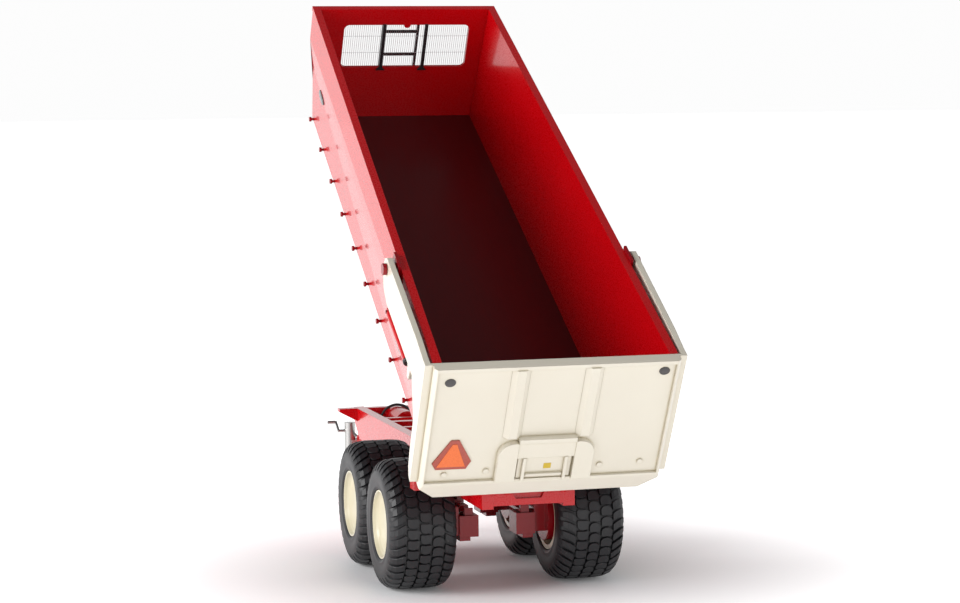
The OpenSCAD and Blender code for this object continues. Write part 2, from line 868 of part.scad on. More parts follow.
module tyre_outline() {
    h = tyre_w / 2;
    polygon([[rim_barrel_r + 0.02, -bead_half], [rim_d / 2, -bead_half], [rim_d / 2 + 0.5, -h + 0.5],
             [14, -h + 0.1], [16, -h], [18, -h + 0.15], [19.6, -h + 0.9], [20.7, -h + 2.1], [21.3, -h + 3.8],
             [wheel_r, -h + 6.5], [wheel_r, h - 6.5], [21.3, h - 3.8], [20.7, h - 2.1], [19.6, h - 0.9],
             [18, h - 0.15], [16, h], [14, h - 0.1], [rim_d / 2 + 0.5, h - 0.5], [rim_d / 2, bead_half],
             [rim_barrel_r + 0.02, bead_half]]);
}

// The rim's outline, with its plain dished disc and the hub that the stub axle turns in.
module rim_outline() {
    r = rim_d / 2;
    polygon([[rim_barrel_r - 0.7, -rim_half], [r, -rim_half], [r, -bead_half], [rim_barrel_r, -bead_half],
             [rim_barrel_r, bead_half], [r, bead_half], [r, rim_half], [r - 0.5, rim_half],
             [r - 1.1, disc_out + 0.9], [r - 1.9, disc_out + 0.25], [r - 3, disc_out], [0, disc_out],
             [0, disc_out - 1.9], [axle_pin_r + 0.06, disc_out - 1.9], [axle_pin_r + 0.06, hub_in - wheel_y],
             [3.2, hub_in - wheel_y], [3.2, disc_out - 1.3], [rim_barrel_r - 0.7, disc_out - 1.3]]);
}

module tyre_rear_left() { color(black) on_wheel(0, 0) tyre_outline(); }
module tyre_front_left() { color(black) on_wheel(wheelbase, 0) tyre_outline(); }
module tyre_rear_right() { color(black) on_wheel(0, 1) tyre_outline(); }
module tyre_front_right() { color(black) on_wheel(wheelbase, 1) tyre_outline(); }
module rim_rear_left() { color(ivory) on_wheel(0, 0) rim_outline(); }
module rim_front_left() { color(ivory) on_wheel(wheelbase, 0) rim_outline(); }
module rim_rear_right() { color(ivory) on_wheel(0, 1) rim_outline(); }
module rim_front_right() { color(ivory) on_wheel(wheelbase, 1) rim_outline(); }

rail_left();
rail_right();
front_bolster();
cross_members();
rear_crossmember();
hinge_ears();
hinge_pins();
cylinder_cradle();
bogie_brackets();
lamp_brackets();
hitch_housing();
drawbar();
towing_eye();
jack_sleeve();
hydraulic_hose();
jack_leg();
jack_crank();
tub_floor();
tub_side_left();
tub_side_right();
tub_front_wall();
window_mesh();
window_bars();
ladder();
tarp_hooks();
floor_beams();
hinge_lugs();
tip_bracket();
gate_pivot_brackets();
gate_panel();
gate_frame();
gate_ribs();
gate_arm_left();
gate_arm_right();
chute_frame();
gate_bolts();
warning_triangle();
chute_door();
gate_barrel_left();
gate_barrel_right();
gate_rod_left();
gate_rod_right();
tip_barrel();
tip_stage_1();
tip_stage_2();
tip_stage_3();
tip_stage_4();
tip_rod();
spring_left();
spring_right();
axles_left();
axles_right();
tyre_rear_left();
tyre_front_left();
tyre_rear_right();
tyre_front_right();
rim_rear_left();
rim_front_left();
rim_rear_right();
rim_front_right();
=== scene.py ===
import json
import math

import bmesh
import bpy
from mathutils import Matrix, Vector


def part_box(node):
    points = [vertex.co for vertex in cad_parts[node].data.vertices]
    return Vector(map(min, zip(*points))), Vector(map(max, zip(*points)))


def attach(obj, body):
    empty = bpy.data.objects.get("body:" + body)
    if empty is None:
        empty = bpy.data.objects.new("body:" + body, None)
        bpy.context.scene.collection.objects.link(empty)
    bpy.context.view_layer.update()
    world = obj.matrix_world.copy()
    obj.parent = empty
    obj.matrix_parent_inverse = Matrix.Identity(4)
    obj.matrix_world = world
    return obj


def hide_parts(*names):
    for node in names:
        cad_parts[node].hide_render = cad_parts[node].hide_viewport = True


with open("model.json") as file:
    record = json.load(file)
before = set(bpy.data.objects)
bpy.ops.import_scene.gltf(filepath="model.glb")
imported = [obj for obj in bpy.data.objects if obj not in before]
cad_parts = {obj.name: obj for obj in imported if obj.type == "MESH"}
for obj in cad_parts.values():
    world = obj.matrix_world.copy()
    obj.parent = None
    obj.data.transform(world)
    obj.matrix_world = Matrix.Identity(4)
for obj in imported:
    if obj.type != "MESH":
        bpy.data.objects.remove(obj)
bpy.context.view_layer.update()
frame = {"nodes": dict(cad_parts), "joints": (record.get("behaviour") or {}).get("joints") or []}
nodes = frame["nodes"]


# Camera. It stands on a low tripod behind the trailer and a little to its left,
# with a short telephoto lens that is turned a touch clockwise.
camera = bpy.data.objects.new("camera", bpy.data.cameras.new("camera"))
bpy.context.scene.collection.objects.link(camera)
bpy.context.scene.camera = camera
camera.data.sensor_width = 36
camera.data.lens = 93.78
camera.data.clip_start, camera.data.clip_end = 0.02, 200
yaw, dip, roll = math.radians(-14.95), math.radians(4.39), math.radians(-0.71)
ahead = Vector((math.cos(dip) * math.cos(yaw), math.cos(dip) * math.sin(yaw), -math.sin(dip)))
level = ahead.cross(Vector((0, 0, 1))).normalized()
upright = level.cross(ahead)
across = math.cos(roll) * level + math.sin(roll) * upright
above = math.cos(roll) * upright - math.sin(roll) * level
camera.matrix_world = Matrix((across, above, -ahead)).transposed().to_4x4()
camera.location = (-0.87159, 0.2167, 0.1575)


# Table top and light tent. The model stands on a matt white board without an edge,
# which glows white except for a painted shadow round the model, and white fabric all round
# lights it, brightest at the sides and dim overhead.
def add(tree, kind, inputs=None, **settings):
    """Adds a node with its settings, and links or sets its inputs."""
    made = tree.nodes.new(kind)
    for name, value in settings.items():
        setattr(made, name, value)
    for key, value in (inputs or {}).items():
        if isinstance(value, bpy.types.NodeSocket):
            tree.links.new(value, made.inputs[key])
        else:
            made.inputs[key].default_value = value
    return made


def linear(code):
    """Turns an sRGB hex colour into the linear colour that the shaders take."""
    parts = [int(code[i:i + 2], 16) / 255 for i in (1, 3, 5)]
    return [c / 12.92 if c <= 0.04045 else ((c + 0.055) / 1.055) ** 2.4 for c in parts] + [1.0]


def empty_material(name):
    """A material with nothing in it but its output."""
    made = bpy.data.materials.new(name)
    made.use_nodes = True
    made.node_tree.nodes.clear()
    return made, made.node_tree


def white_board_painted_shadow():
    """White board that glows: the glow is dimmed near the model as a painted shadow, and rises to plain white
    away from it.
    """
    made, tree = empty_material("white_board_painted_shadow")
    place = add(tree, "ShaderNodeTexCoord")
    grain = add(tree, "ShaderNodeTexNoise", {"Vector": place.outputs["Object"],
                                             "Scale": 400.0, "Detail": 2.0})
    tone = add(tree, "ShaderNodeMix", {0: grain.outputs["Fac"], 6: linear("#f4f4f6"), 7: linear("#f8f8f9")},
               data_type="RGBA")
    # Painted shadow: the glow is only 0.05 within 4 cm of a point under the model and climbs to 0.8 at 14 cm,
    # so the board darkens under the trailer.
    reach = add(tree, "ShaderNodeVectorMath", {0: place.outputs["Object"], 1: (-0.05, 0, 0)},
                operation="DISTANCE")
    glow = add(tree, "ShaderNodeMapRange", {
        "Value": reach.outputs["Value"], "From Min": 0.04, "From Max": 0.14, "To Min": 0.05, "To Max": 0.8})
    shade = add(tree, "ShaderNodeBsdfPrincipled", {
        "Base Color": tone.outputs[2], "Roughness": 0.6, "Specular IOR Level": 0.25,
        "Emission Color": linear("#ffffff"), "Emission Strength": glow.outputs[0]})
    add(tree, "ShaderNodeOutputMaterial", {"Surface": shade.outputs[0]})
    return made


board = bmesh.new()
bmesh.ops.create_circle(board, cap_ends=True, segments=64, radius=60)
floor_mesh = bpy.data.meshes.new("table_top")
board.to_mesh(floor_mesh)
floor = bpy.data.objects.new("table_top", floor_mesh)
bpy.context.scene.collection.objects.link(floor)
floor_mesh.materials.append(white_board_painted_shadow())

tent = bpy.data.worlds.new("light_tent")
bpy.context.scene.world = tent
tent.use_nodes = True
tent.node_tree.nodes.clear()
sky = add(tent.node_tree, "ShaderNodeTexCoord")
parts = add(tent.node_tree, "ShaderNodeSeparateXYZ", {0: sky.outputs["Generated"]})
ramp = add(tent.node_tree, "ShaderNodeValToRGB", {0: parts.outputs["Z"]})
ramp.color_ramp.elements[0].position = 0.18
ramp.color_ramp.elements[0].color = (1, 1, 1, 1)
ramp.color_ramp.elements[1].position = 0.5
ramp.color_ramp.elements[1].color = (0.27, 0.27, 0.28, 1)
zenith = ramp.color_ramp.elements.new(0.95)
zenith.color = (0.1, 0.1, 0.1, 1)
glow = add(tent.node_tree, "ShaderNodeBackground", {"Color": ramp.outputs[0], "Strength": 0.98})
add(tent.node_tree, "ShaderNodeOutputWorld", {"Surface": glow.outputs[0]})

for name, spot, aim, size, watts in (
        ("key_left", (-0.2, 1.2, 0.55), (0.02, 0, 0.08), 0.8, 13),
        ("fill_right", (-0.5, -1.2, 0.5), (0, 0, 0.08), 0.8, 1),
        ("rear_fill", (-1.6, -0.3, 0.15), (-0.05, 0, 0.08), 0.9, 1.5)):
    lamp = bpy.data.lights.new(name, "AREA")
    lamp.shape, lamp.size, lamp.energy = "DISK", size, watts
    softbox = bpy.data.objects.new(name, lamp)
    bpy.context.scene.collection.objects.link(softbox)
    softbox.location = spot
    softbox.rotation_euler = (Vector(aim) - Vector(spot)).to_track_quat("-Z", "Y").to_euler()
bpy.context.scene.view_settings.view_transform = "Standard"


# Chassis, tub and tip cylinder barrel. Die-cast zinc and brass sheet, sprayed with red enamel
# and cured, so the faces are glossy with a very fine orange peel and slightly rounded edges.
def red_enamel():
    """Gloss enamel: a bright red body under a clear skin, with orange peel about 1.3 mm across."""
    made, tree = empty_material("red_enamel")
    place = add(tree, "ShaderNodeTexCoord")
    drift = add(tree, "ShaderNodeTexNoise", {"Vector": place.outputs["Object"], "Scale": 28.0, "Detail": 3.0})
    body = add(tree, "ShaderNodeMix", {0: drift.outputs["Fac"], 6: linear("#bb0009"), 7: linear("#c8020d")},
               data_type="RGBA")
    peel = add(tree, "ShaderNodeTexNoise", {"Vector": place.outputs["Object"], "Scale": 770.0, "Detail": 1.5})
    dust = add(tree, "ShaderNodeTexNoise", {"Vector": place.outputs["Object"],
                                            "Scale": 2400.0, "Detail": 2.0})
    gloss = add(tree, "ShaderNodeMapRange", {"Value": dust.outputs["Fac"], "To Min": 0.2, "To Max": 0.36})
    edge = add(tree, "ShaderNodeBevel", {"Radius": 0.00022}, samples=4)
    skin = add(tree, "ShaderNodeBump", {"Height": peel.outputs["Fac"], "Strength": 0.1, "Distance": 0.00003,
                                        "Normal": edge.outputs[0]})
    shade = add(tree, "ShaderNodeBsdfPrincipled", {
        "Base Color": body.outputs[2], "Roughness": gloss.outputs[0], "Normal": skin.outputs[0], "IOR": 1.5,
        "Specular IOR Level": 0.3, "Coat Weight": 0.5, "Coat Roughness": 0.06})
    add(tree, "ShaderNodeOutputMaterial", {"Surface": shade.outputs[0]})
    return made


def coat(names, finish):
    """Gives CAD nodes their finish."""
    for name in names:
        nodes[name].data.materials.clear()
        nodes[name].data.materials.append(finish)


red_paint = red_enamel()
coat(("rail_left", "rail_right", "front_bolster", "cross_members", "rear_crossmember", "hinge_ears",
      "cylinder_cradle", "bogie_brackets", "lamp_brackets", "hitch_housing", "drawbar", "tub_side_left",
      "tub_side_right", "tub_front_wall", "floor_beams", "hinge_lugs", "tip_bracket", "gate_barrel_left",
      "gate_barrel_right", "tip_barrel"), red_paint)


# Running gear, hooks and pivot brackets. Cast and folded in metal, with the same enamel as the chassis,
# given a darker red as painted shade.
def shaded_red_enamel():
    """Satin enamel: the gloss red darkened to a wine red as painted shade, and rougher, so it scatters more
    light than the gloss red.
    """
    made, tree = empty_material("shaded_red_enamel")
    place = add(tree, "ShaderNodeTexCoord")
    drift = add(tree, "ShaderNodeTexNoise", {"Vector": place.outputs["Object"], "Scale": 60.0, "Detail": 4.0})
    # Painted shade: the body colour is a darker copy of the gloss red, not a different paint.
    body = add(tree, "ShaderNodeMix", {0: drift.outputs["Fac"], 6: linear("#860713"), 7: linear("#960a16")},
               data_type="RGBA")
    grit = add(tree, "ShaderNodeTexNoise", {"Vector": place.outputs["Object"],
                                            "Scale": 1500.0, "Detail": 2.0})
    gloss = add(tree, "ShaderNodeMapRange", {"Value": grit.outputs["Fac"], "To Min": 0.16, "To Max": 0.3})
    edge = add(tree, "ShaderNodeBevel", {"Radius": 0.0002}, samples=4)
    skin = add(tree, "ShaderNodeBump", {"Height": grit.outputs["Fac"], "Strength": 0.12, "Distance": 0.00003,
                                        "Normal": edge.outputs[0]})
    shade = add(tree, "ShaderNodeBsdfPrincipled", {
        "Base Color": body.outputs[2], "Roughness": gloss.outputs[0], "Normal": skin.outputs[0], "IOR": 1.5,
        "Specular IOR Level": 0.3, "Coat Weight": 0.15, "Coat Roughness": 0.1})
    add(tree, "ShaderNodeOutputMaterial", {"Surface": shade.outputs[0]})
    return made


shaded_red_paint = shaded_red_enamel()
coat(("tarp_hooks", "gate_pivot_brackets", "spring_left", "spring_right", "axles_left",
      "axles_right"), shaded_red_paint)


# Load floor. Sheet brass under the walls' red enamel, flatted by loads that slide off it,
# with faint scuffs along the tub; its red is painted far darker as the shade deep in the tub.
def flatted_enamel_painted_shade():
    """Flatted enamel: the walls' red painted down to a deep red-brown as shade, with long scuffs about 0.8 mm
    wide, a little duller than the walls.
    """
    made, tree = empty_material("flatted_enamel_painted_shade")
    place = add(tree, "ShaderNodeTexCoord")
    along = add(tree, "ShaderNodeMapping", {0: place.outputs["Object"], "Scale": (60.0, 1200.0, 60.0)})
    scuff = add(tree, "ShaderNodeTexNoise", {"Vector": along.outputs[0], "Scale": 1.0, "Detail": 3.0})
    # Painted shade: both body colours are far darker than the red of the walls, standing in for the shade
    # inside the tub.
    body = add(tree, "ShaderNodeMix", {0: scuff.outputs["Fac"], 6: linear("#4c0308"), 7: linear("#5a050c")},
               data_type="RGBA")
    gloss = add(tree, "ShaderNodeMapRange", {"Value": scuff.outputs["Fac"], "To Min": 0.24, "To Max": 0.4})
    shade = add(tree, "ShaderNodeBsdfPrincipled", {
        "Base Color": body.outputs[2], "Roughness": gloss.outputs[0], "IOR": 1.5, "Specular IOR Level": 0.3})
    add(tree, "ShaderNodeOutputMaterial", {"Surface": shade.outputs[0]})
    return made


coat(("tub_floor",), flatted_enamel_painted_shade())


# Tailgate, its side arms, chute and ribs. Die-cast zinc sprayed with cream enamel,
# with soft mould edges and painted shade darkening the corners.
def cream_enamel():
    """Gloss cream enamel: warm off-white, clouded by hand-sized drifts, with painted shade in its corners and
    fine orange peel.
    """
    made, tree = empty_material("cream_enamel")
    place = add(tree, "ShaderNodeTexCoord")
    drift = add(tree, "ShaderNodeTexNoise", {"Vector": place.outputs["Object"], "Scale": 45.0, "Detail": 4.0})
    body = add(tree, "ShaderNodeMix", {0: drift.outputs["Fac"], 6: linear("#dbd3c2"), 7: linear("#e2dccd")},
        data_type="RGBA")
    # Painted shade: ambient occlusion within 0.9 mm darkens the cream towards #c2b79a in corners and
    # recesses.
    corner = add(tree, "ShaderNodeAmbientOcclusion", {"Distance": 0.0009}, samples=6, inside=False)
    painted_corner_shade = add(tree, "ShaderNodeMapRange", {
        "Value": corner.outputs["AO"], "From Min": 0.35, "From Max": 0.95})
    body_with_painted_shade = add(tree, "ShaderNodeMix", {0: painted_corner_shade.outputs[0], 6: linear("#c2b79a"), 7: body.outputs[2]},
        data_type="RGBA")
    peel = add(tree, "ShaderNodeTexNoise", {"Vector": place.outputs["Object"], "Scale": 770.0, "Detail": 1.5})
    edge = add(tree, "ShaderNodeBevel", {"Radius": 0.0003}, samples=4)
    skin = add(tree, "ShaderNodeBump", {"Height": peel.outputs["Fac"], "Strength": 0.1, "Distance": 0.00003,
                                 "Normal": edge.outputs[0]})
    gloss = add(tree, "ShaderNodeMapRange", {"Value": drift.outputs["Fac"], "To Min": 0.26, "To Max": 0.36})
    shade = add(tree, "ShaderNodeBsdfPrincipled", {
        "Base Color": body_with_painted_shade.outputs[2], "Roughness": gloss.outputs[0], "Normal": skin.outputs[0], "IOR": 1.5,
        "Coat Weight": 0.4, "Coat Roughness": 0.08})
    add(tree, "ShaderNodeOutputMaterial", {"Surface": shade.outputs[0]})
    return made


cream_paint = cream_enamel()
coat(("gate_panel", "gate_frame", "gate_ribs", "gate_arm_left", "gate_arm_right", "chute_frame",
      "chute_door", "gate_bolts"), cream_paint)


# Pins, rods, jack and towing eye. Turned and drawn steel, left bright,
# with fine lines from the lathe and the drawing die.
def drawn_steel():
    """Bright drawn steel: a grey metal whose fine lines spread its highlights."""
    made, tree = empty_material("drawn_steel")
    place = add(tree, "ShaderNodeTexCoord")
    lines = add(tree, "ShaderNodeTexNoise", {"Vector": place.outputs["Object"],
                                             "Scale": 1800.0, "Detail": 3.0})
    gloss = add(tree, "ShaderNodeMapRange", {"Value": lines.outputs["Fac"], "To Min": 0.22, "To Max": 0.4})
    skin = add(tree, "ShaderNodeBump", {"Height": lines.outputs["Fac"], "Strength": 0.1, "Distance": 0.00002})
    shade = add(tree, "ShaderNodeBsdfPrincipled", {
        "Base Color": linear("#b9b8b6"), "Metallic": 1.0, "Roughness": gloss.outputs[0],
        "Normal": skin.outputs[0]})
    add(tree, "ShaderNodeOutputMaterial", {"Surface": shade.outputs[0]})
    return made


bright_steel = drawn_steel()
coat(("hinge_pins", "towing_eye", "jack_sleeve", "jack_leg", "jack_crank", "gate_rod_left",
      "gate_rod_right"), bright_steel)


# Tip cylinder stages. Thin brass tubes, ground and chromed,
# so they slide in one another and shine evenly.
def hard_chrome():
    """Hard chrome on a ground tube: a cool mirror with the faintest grinding haze."""
    made, tree = empty_material("hard_chrome")
    place = add(tree, "ShaderNodeTexCoord")
    haze = add(tree, "ShaderNodeTexNoise", {"Vector": place.outputs["Object"], "Scale": 900.0, "Detail": 2.0})
    gloss = add(tree, "ShaderNodeMapRange", {"Value": haze.outputs["Fac"], "To Min": 0.08, "To Max": 0.16})
    shade = add(tree, "ShaderNodeBsdfPrincipled", {
        "Base Color": linear("#d4d6da"), "Metallic": 1.0, "Roughness": gloss.outputs[0]})
    add(tree, "ShaderNodeOutputMaterial", {"Surface": shade.outputs[0]})
    return made


chrome = hard_chrome()
coat(("tip_stage_1", "tip_stage_2", "tip_stage_3", "tip_stage_4", "tip_rod"), chrome)


# Ladder and window bars. Etched brass strip soldered together and blackened
# with satin lacquer.
def black_lacquer():
    """Satin black lacquer: near black, with a soft edge highlight."""
    made, tree = empty_material("black_lacquer")
    place = add(tree, "ShaderNodeTexCoord")
    grit = add(tree, "ShaderNodeTexNoise", {"Vector": place.outputs["Object"],
                                            "Scale": 1600.0, "Detail": 2.0})
    gloss = add(tree, "ShaderNodeMapRange", {"Value": grit.outputs["Fac"], "To Min": 0.35, "To Max": 0.5})
    tone = add(tree, "ShaderNodeMix", {0: grit.outputs["Fac"], 6: linear("#1d1b1e"), 7: linear("#2a282b")},
               data_type="RGBA")
    shade = add(tree, "ShaderNodeBsdfPrincipled", {
        "Base Color": tone.outputs[2], "Roughness": gloss.outputs[0], "IOR": 1.5})
    add(tree, "ShaderNodeOutputMaterial", {"Surface": shade.outputs[0]})
    return made


black_paint = black_lacquer()
coat(("ladder", "window_bars"), black_paint)


# Hydraulic hose from the drawbar to the housing behind the front bolster.
# Black moulded rubber with a fine cloth mark from its curing wrap.
def hose_cover():
    """Synthetic rubber hose cover: matt black with a wrapped-cloth mark every 0.5 mm."""
    made, tree = empty_material("hose_cover")
    place = add(tree, "ShaderNodeTexCoord")
    wrap = add(tree, "ShaderNodeTexVoronoi", {"Vector": place.outputs["Object"], "Scale": 2000.0})
    skin = add(tree, "ShaderNodeBump", {"Height": wrap.outputs["Distance"], "Strength": 0.2,
                                        "Distance": 0.00003})
    tone = add(tree, "ShaderNodeMix", {
        0: wrap.outputs["Distance"], 6: linear("#17171a"), 7: linear("#26262a")}, data_type="RGBA")
    shade = add(tree, "ShaderNodeBsdfPrincipled", {
        "Base Color": tone.outputs[2], "Roughness": 0.5, "Normal": skin.outputs[0], "IOR": 1.52})
    add(tree, "ShaderNodeOutputMaterial", {"Surface": shade.outputs[0]})
    return made


coat(("hydraulic_hose",), hose_cover())


# Wheel rims. Turned aluminium, sprayed with ivory enamel, pressed into the tyres.
def ivory_enamel():
    """Gloss ivory enamel: a warm, even cream-white with a smooth clear skin."""
    made, tree = empty_material("ivory_enamel")
    place = add(tree, "ShaderNodeTexCoord")
    drift = add(tree, "ShaderNodeTexNoise", {"Vector": place.outputs["Object"], "Scale": 90.0, "Detail": 3.0})
    body = add(tree, "ShaderNodeMix", {0: drift.outputs["Fac"], 6: linear("#cdc4a6"), 7: linear("#d6ceb3")},
        data_type="RGBA")
    edge = add(tree, "ShaderNodeBevel", {"Radius": 0.0003}, samples=4)
    gloss = add(tree, "ShaderNodeMapRange", {"Value": drift.outputs["Fac"], "To Min": 0.25, "To Max": 0.36})
    shade = add(tree, "ShaderNodeBsdfPrincipled", {
        "Base Color": body.outputs[2], "Roughness": gloss.outputs[0], "Normal": edge.outputs[0], "IOR": 1.5,
        "Coat Weight": 0.4, "Coat Roughness": 0.08})
    add(tree, "ShaderNodeOutputMaterial", {"Surface": shade.outputs[0]})
    return made


ivory_paint = ivory_enamel()
wheels = ("rear_left", "front_left", "rear_right", "front_right")
coat(["rim_" + wheel for wheel in wheels], ivory_paint)


# Tyre carcasses. Soft black rubber, moulded in one piece with smooth flanks,
# a bead ring beside the rim and a rounded shoulder that the tread stands on.
def moulded_rubber():
    """Moulded rubber: blue-black, matt, with a fine mould grain and paler dust in its drifts."""
    made, tree = empty_material("moulded_rubber")
    place = add(tree, "ShaderNodeTexCoord")
    drift = add(tree, "ShaderNodeTexNoise", {"Vector": place.outputs["Object"],
                                      "Scale": 120.0, "Detail": 4.0})
    body = add(tree, "ShaderNodeMix", {0: drift.outputs["Fac"], 6: linear("#0f0f12"), 7: linear("#1a1a1e")},
        data_type="RGBA")
    grain = add(tree, "ShaderNodeTexNoise", {"Vector": place.outputs["Object"],
                                      "Scale": 2600.0, "Detail": 2.0})
    skin = add(tree, "ShaderNodeBump", {
        "Height": grain.outputs["Fac"], "Strength": 0.25, "Distance": 0.00004})
    gloss = add(tree, "ShaderNodeMapRange", {"Value": drift.outputs["Fac"], "To Min": 0.38, "To Max": 0.55})
    shade = add(tree, "ShaderNodeBsdfPrincipled", {
        "Base Color": body.outputs[2], "Roughness": gloss.outputs[0], "Normal": skin.outputs[0], "IOR": 1.52})
    add(tree, "ShaderNodeOutputMaterial", {"Surface": shade.outputs[0]})
    return made


def in_metres(shape, name, place, material):
    """Turns a shape drawn in millimetres into an object at the origin, with its place in its mesh."""
    bmesh.ops.transform(shape, matrix=place @ Matrix.Scale(0.001, 4), verts=shape.verts)
    mesh = bpy.data.meshes.new(name)
    shape.to_mesh(mesh)
    shape.free()
    mesh.materials.append(material)
    made = bpy.data.objects.new(name, mesh)
    bpy.context.scene.collection.objects.link(made)
    return made


def turned(profile, sides):
    """A shape turned round Z from a line of (radius, height) points. Points at radius 0 close it."""
    shape = bmesh.new()
    line = [shape.verts.new((r, 0, z)) for r, z in profile]
    edges = [shape.edges.new((a, b)) for a, b in zip(line, line[1:])]
    bmesh.ops.spin(shape, geom=line + edges, cent=(0, 0, 0), axis=(0, 0, 1), angle=2 * math.pi, steps=sides,
            use_merge=True)
    bmesh.ops.remove_doubles(shape, verts=shape.verts, dist=0.0001)
    bmesh.ops.recalc_face_normals(shape, faces=shape.faces)
    for face in shape.faces:
        face.smooth = True
    return shape


rubber = moulded_rubber()
flank = [(10.62, 9.65), (11.35, 9.65), (11.6, 10.45), (11.85, 10.75), (12.3, 10.85), (12.5, 11.02),
         (12.8, 11.02), (13.0, 10.95), (14.4, 11.15), (16, 11.24), (17.2, 11.16), (18.1, 10.85), (18.8, 10.3),
         (19.4, 9.5), (19.85, 8.5), (20.2, 7.4), (20.5, 6), (20.62, 4.4), (20.66, 2)]
ring = flank + [(r, -y) for r, y in reversed(flank)]
wheel_place = {}
for wheel in wheels:
    low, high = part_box("tyre_" + wheel)
    turn = math.radians(-90 if "left" in wheel else 90)
    wheel_place[wheel] = Matrix.Translation((low + high) / 2) @ Matrix.Rotation(turn, 4, "X")
    carcass = in_metres(turned(ring + [ring[0]], 96), "carcass_" + wheel, wheel_place[wheel], rubber)
    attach(carcass, "wheel_" + wheel)
    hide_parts("tyre_" + wheel)


# Tread. Five rows of moulded blocks stand on the carcass: three rows in the middle with
# bowed ends, and a slanting row on each shoulder that runs down on to the flank.
pitches = 38
crown = [(0, 21.62), (4.75, 21.6), (7.45, 21.28), (9.15, 20.68), (10.35, 19.58), (11.0, 18.3), (11.2, 17.2)]


def crown_radius(y):
    """Radius of the tread's face at a distance from the middle of the tyre."""
    y = abs(y)
    for (y0, r0), (y1, r1) in zip(crown, crown[1:]):
        if y <= y1:
            return r0 + (r1 - r0) * (y - y0) / (y1 - y0)
    return crown[-1][1]


def add_tread_block(shape, stations, depth):
    """A block lofted across the tyre: each station is its distance across and its two ends, in pitches."""
    step = 2 * math.pi / pitches
    rows = []
    for y, start, end in stations:
        face = crown_radius(y)
        soft = 0.035
        section = [(start, face - depth), (start, face - 0.16), (start + soft, face),
            (end - soft, face), (end, face - 0.16), (end, face - depth)]
        rows.append([shape.verts.new((r * math.sin(a * step), r * math.cos(a * step), y))
              for a, r in section])
    for one, two in zip(rows, rows[1:]):
        for i in range(6):
            shape.faces.new((one[i], one[(i + 1) % 6], two[(i + 1) % 6], two[i]))
    shape.faces.new(rows[0])
    shape.faces.new(reversed(rows[-1]))


pitch = bmesh.new()
for middle, half, shift in ((0, 1.75, 0), (-4.15, 1.85, 0.5), (4.15, 1.85, 0.5)):
    stations = []
    for share, reach in ((-1, 0.26), (-0.8, 0.4), (-0.4, 0.44), (0, 0.45), (0.4, 0.44), (0.8, 0.4),
                  (1, 0.26)):
        bow = shift + math.copysign(0.14, middle + 0.1) * (1 - share ** 2)
        stations.append((middle + share * half, bow - reach, bow + reach))
    add_tread_block(pitch, stations, 1.1)
for side in (-1, 1):
    add_tread_block(pitch, [
        (side * y, lean - reach, lean + reach)
        for y, lean, reach in ((6.45, 0.0, 0.3), (6.8, 0.05, 0.37), (7.45, 0.16, 0.37), (8.3, 0.29, 0.36),
                        (9.15, 0.4, 0.34), (9.8, 0.47, 0.32), (10.35, 0.52, 0.3), (10.8, 0.55, 0.27),
                        (11.08, 0.57, 0.22))], 1.0)
bmesh.ops.recalc_face_normals(pitch, faces=pitch.faces)
pitch_mesh = bpy.data.meshes.new("tread_pitch")
pitch.to_mesh(pitch_mesh)
tread_blank = bpy.data.objects.new("tread_blank", pitch_mesh)
bpy.context.scene.collection.objects.link(tread_blank)

ring_tree = bpy.data.node_groups.new("tread_ring", "GeometryNodeTree")
ring_tree.interface.new_socket("Pitch", in_out="INPUT", socket_type="NodeSocketGeometry")
ring_tree.interface.new_socket("Pitches", in_out="INPUT", socket_type="NodeSocketInt")
ring_tree.interface.new_socket("Rubber", in_out="INPUT", socket_type="NodeSocketMaterial")
ring_tree.interface.new_socket("Tread", in_out="OUTPUT", socket_type="NodeSocketGeometry")
given = add(ring_tree, "NodeGroupInput")
turn_each = add(ring_tree, "ShaderNodeMath", {0: 2 * math.pi, 1: given.outputs["Pitches"]},
         operation="DIVIDE")
number = add(ring_tree, "GeometryNodeInputIndex")
turned_by = add(ring_tree, "ShaderNodeMath", {0: number.outputs[0], 1: turn_each.outputs[0]},
         operation="MULTIPLY")
angle = add(ring_tree, "ShaderNodeCombineXYZ", {"Z": turned_by.outputs[0]})
spots = add(ring_tree, "GeometryNodeMeshLine", {"Count": given.outputs["Pitches"], "Offset": (0, 0, 0)})
placed = add(ring_tree, "GeometryNodeInstanceOnPoints", {
    "Points": spots.outputs[0], "Instance": given.outputs["Pitch"], "Rotation": angle.outputs[0]})
whole = add(ring_tree, "GeometryNodeRealizeInstances", {0: placed.outputs[0]})
coated = add(ring_tree, "GeometryNodeSetMaterial", {
    "Geometry": whole.outputs[0], "Material": given.outputs["Rubber"]})
add(ring_tree, "NodeGroupOutput", {0: coated.outputs[0]})

ring_steps = tread_blank.modifiers.new("tread_ring", "NODES")
ring_steps.node_group = ring_tree
sockets = {item.name: item.identifier for item in ring_tree.interface.items_tree if item.in_out == "INPUT"}
ring_steps[sockets["Pitches"]] = pitches
ring_steps[sockets["Rubber"]] = rubber
bpy.context.view_layer.update()
evaluated = tread_blank.evaluated_get(bpy.context.evaluated_depsgraph_get())
tread_ring = bpy.data.meshes.new_from_object(evaluated)
bpy.data.objects.remove(tread_blank)
for wheel in wheels:
    mesh = tread_ring.copy()
    mesh.transform(wheel_place[wheel] @ Matrix.Scale(0.001, 4))
    tread = bpy.data.objects.new("tread_" + wheel, mesh)
    bpy.context.scene.collection.objects.link(tread)
    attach(tread, "wheel_" + wheel)


# Window screen in the front wall. Woven from fine bright wire, soldered behind the opening;
# the upright wires stand closer than the cross wires.
joints = {joint["name"]: joint for joint in frame["joints"]}
tub_tip = joints["tub_tip"]
tilt = math.radians(tub_tip["range_deg"][0])
hinge_to_rim = (-0.0054, 0, 0.0504)
in_tub = (Matrix.Translation(tub_tip["pos_m"]) @ Matrix.Rotation(tilt, 4, "Y")
          @ Matrix.Translation(hinge_to_rim))
tub_length = 224.3


